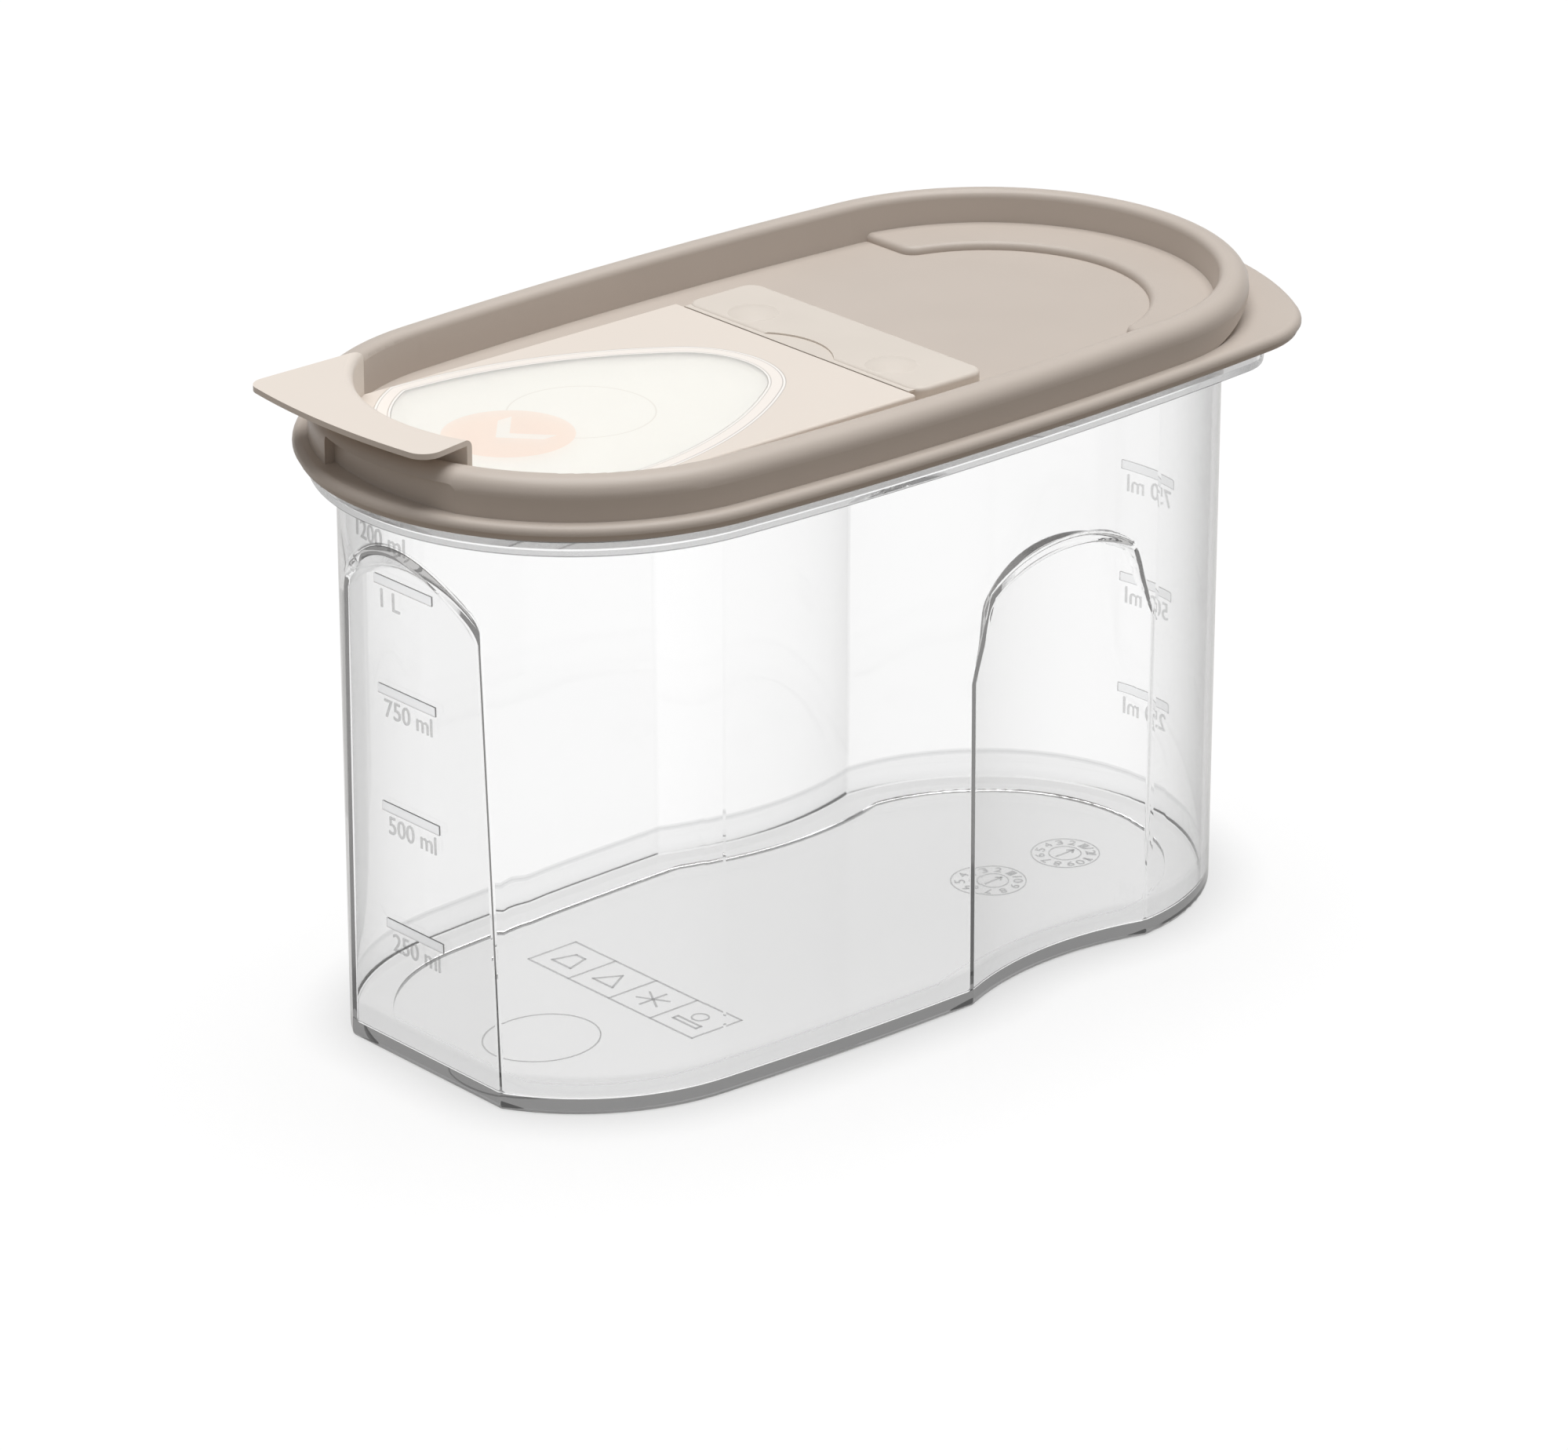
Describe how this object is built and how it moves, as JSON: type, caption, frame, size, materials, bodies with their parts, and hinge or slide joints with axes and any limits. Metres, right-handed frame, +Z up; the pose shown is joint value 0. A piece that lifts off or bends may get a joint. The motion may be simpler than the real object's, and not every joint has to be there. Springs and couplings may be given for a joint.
{
  "type": "storage canister",
  "caption": "Clear oval food storage canister with finger scoops and a moulded scale, an opaque lid with a pull tab, and a hinged pour flap with a finger lip.",
  "frame": {"origin": "centre of the container's base, on the surface it stands on", "axes": "+X along the long axis towards the pull tab, -X towards the pour end, +Z up"},
  "size_m": [0.1932, 0.0992, 0.1192],
  "materials": {
    "clear_plastic": "clear and smooth",
    "taupe_plastic": "satin moulded",
    "cream_plastic": "translucent, satin moulded"
  },
  "bodies": {
    "container": {"container": "clear_plastic"},
    "lid": {"lid": "taupe_plastic", "hinge_strip": "cream_plastic"},
    "pour_flap": {"pour_flap": "cream_plastic"}
  },
  "joints": [
    {"name": "lid_lift", "type": "slide", "parent": "container", "child": "lid", "axis": [0, 0, 1], "range_m": [0, 0.03]},
    {"name": "flap_hinge", "type": "hinge", "parent": "lid", "child": "pour_flap", "pos_m": [0.0011, 0, 0.1112], "axis": [0, 1, 0], "range_deg": [0, 165]}
  ]
}
